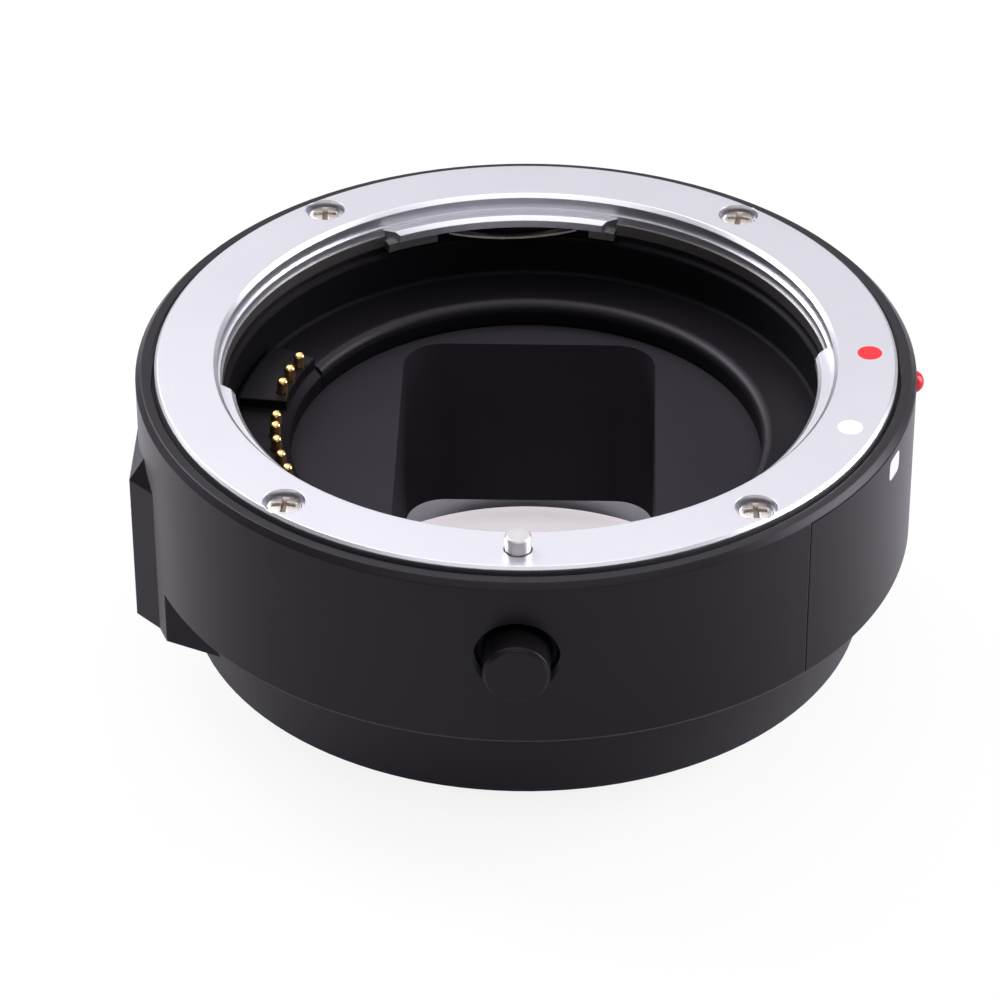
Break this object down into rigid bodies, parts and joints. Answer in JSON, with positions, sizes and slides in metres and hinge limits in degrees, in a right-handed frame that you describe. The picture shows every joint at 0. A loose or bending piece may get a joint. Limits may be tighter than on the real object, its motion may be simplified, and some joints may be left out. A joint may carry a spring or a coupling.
{
  "type": "lens mount adapter",
  "caption": "Round camera lens mount adapter: metal lens bayonet with sprung contacts and lock pin, release button, light tunnel, foot seat and rear bayonet.",
  "frame": {"origin": "on the optical axis, in the plane of the lens-side flange face", "axes": "+Z along the optical axis towards the lens, -Y towards the release button, -X towards the foot seat"},
  "size_m": [0.0692, 0.0709, 0.032],
  "materials": {
    "black_anodised": "fine satin black anodised",
    "black_cover": "fine satin black anodised",
    "red_plastic": "glossy red",
    "satin_chrome": "satin chrome plate on turned metal",
    "screw_steel": "nickel plated",
    "seat_metal": "satin metal",
    "spring_steel": "spring steel",
    "pin_steel": "turned steel",
    "button_black": "matte black",
    "black_plastic": "matte black moulding",
    "tunnel_black": "flocked black",
    "block_black": "black moulding",
    "contact_gold": "gold plated",
    "board_green": "solder mask",
    "chip_black": "moulded epoxy",
    "flex_amber": "polyimide film"
  },
  "bodies": {
    "adapter": {"housing": "black_anodised", "side_cover": "black_cover", "index_bead": "red_plastic", "lens_mount_ring": "satin_chrome", "lens_mount_screws": "screw_steel", "spring_seat_ring": "seat_metal", "leaf_spring_top": "spring_steel", "leaf_spring_right": "spring_steel", "leaf_spring_left": "spring_steel", "lock_spring": "spring_steel", "button_bush": "black_plastic", "inner_frame": "black_plastic", "light_tunnel": "tunnel_black", "tunnel_screws": "screw_steel", "contact_block": "block_black", "circuit_board": "board_green", "controller": "chip_black", "board_screws": "screw_steel", "rear_mount_ring": "satin_chrome", "rear_mount_screws": "screw_steel", "rear_baffle": "tunnel_black", "rear_contact_block": "block_black", "rear_contact_pads": "contact_gold", "flex_cable": "flex_amber", "contact_spring_1": "spring_steel", "contact_spring_2": "spring_steel", "contact_spring_3": "spring_steel", "contact_spring_4": "spring_steel", "contact_spring_5": "spring_steel", "contact_spring_6": "spring_steel", "contact_spring_7": "spring_steel", "contact_spring_8": "spring_steel"},
    "button": {"release_button": "button_black"},
    "lock": {"lock_pin": "pin_steel"},
    "contact_1": {"contact_pin_1": "contact_gold"},
    "contact_2": {"contact_pin_2": "contact_gold"},
    "contact_3": {"contact_pin_3": "contact_gold"},
    "contact_4": {"contact_pin_4": "contact_gold"},
    "contact_5": {"contact_pin_5": "contact_gold"},
    "contact_6": {"contact_pin_6": "contact_gold"},
    "contact_7": {"contact_pin_7": "contact_gold"},
    "contact_8": {"contact_pin_8": "contact_gold"}
  },
  "joints": [
    {"name": "release_press", "type": "slide", "parent": "adapter", "child": "button", "axis": [0, 1, 0], "range_m": [0, 0.0015], "stiffness_N_per_m": 250},
    {"name": "lock_pin_drop", "type": "slide", "parent": "adapter", "child": "lock", "axis": [0, 0, -1], "range_m": [0, 0.0015], "stiffness_N_per_m": 350, "deforming": ["lock_spring"]},
    {"name": "contact_1_press", "type": "slide", "parent": "adapter", "child": "contact_1", "axis": [0, 0, -1], "range_m": [0, 0.001], "stiffness_N_per_m": 120, "deforming": ["contact_spring_1"]},
    {"name": "contact_2_press", "type": "slide", "parent": "adapter", "child": "contact_2", "axis": [0, 0, -1], "range_m": [0, 0.001], "stiffness_N_per_m": 120, "deforming": ["contact_spring_2"]},
    {"name": "contact_3_press", "type": "slide", "parent": "adapter", "child": "contact_3", "axis": [0, 0, -1], "range_m": [0, 0.001], "stiffness_N_per_m": 120, "deforming": ["contact_spring_3"]},
    {"name": "contact_4_press", "type": "slide", "parent": "adapter", "child": "contact_4", "axis": [0, 0, -1], "range_m": [0, 0.001], "stiffness_N_per_m": 120, "deforming": ["contact_spring_4"]},
    {"name": "contact_5_press", "type": "slide", "parent": "adapter", "child": "contact_5", "axis": [0, 0, -1], "range_m": [0, 0.001], "stiffness_N_per_m": 120, "deforming": ["contact_spring_5"]},
    {"name": "contact_6_press", "type": "slide", "parent": "adapter", "child": "contact_6", "axis": [0, 0, -1], "range_m": [0, 0.001], "stiffness_N_per_m": 120, "deforming": ["contact_spring_6"]},
    {"name": "contact_7_press", "type": "slide", "parent": "adapter", "child": "contact_7", "axis": [0, 0, -1], "range_m": [0, 0.001], "stiffness_N_per_m": 120, "deforming": ["contact_spring_7"]},
    {"name": "contact_8_press", "type": "slide", "parent": "adapter", "child": "contact_8", "axis": [0, 0, -1], "range_m": [0, 0.001], "stiffness_N_per_m": 120, "deforming": ["contact_spring_8"]}
  ],
  "couplings": [
    {"joint": "lock_pin_drop", "follows": "release_press", "ratio": 1}
  ]
}
